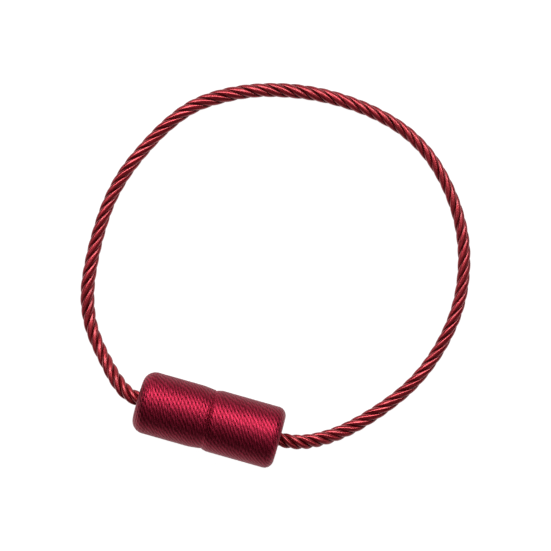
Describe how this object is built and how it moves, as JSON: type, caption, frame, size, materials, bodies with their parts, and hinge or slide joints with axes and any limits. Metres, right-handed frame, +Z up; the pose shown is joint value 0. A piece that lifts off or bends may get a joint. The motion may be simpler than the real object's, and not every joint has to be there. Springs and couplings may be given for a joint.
{
  "type": "magnetic curtain tieback",
  "caption": "Rope loop that holds a gathered curtain, closed by thread-wound magnetic barrels joined end to end.",
  "frame": {"origin": "on the surface that the tieback lies on, under the seam between the two barrels", "axes": "+X along the barrels from the left one to the right one, +Y across the loop away from the barrels, +Z up"},
  "size_m": [0.134, 0.1344, 0.0218],
  "materials": {
    "rope_yarn": "satin",
    "barrel_thread": "satin"
  },
  "bodies": {
    "root": {"rope": "rope_yarn", "barrel_left": "barrel_thread", "barrel_right": "barrel_thread"}
  },
  "joints": []
}
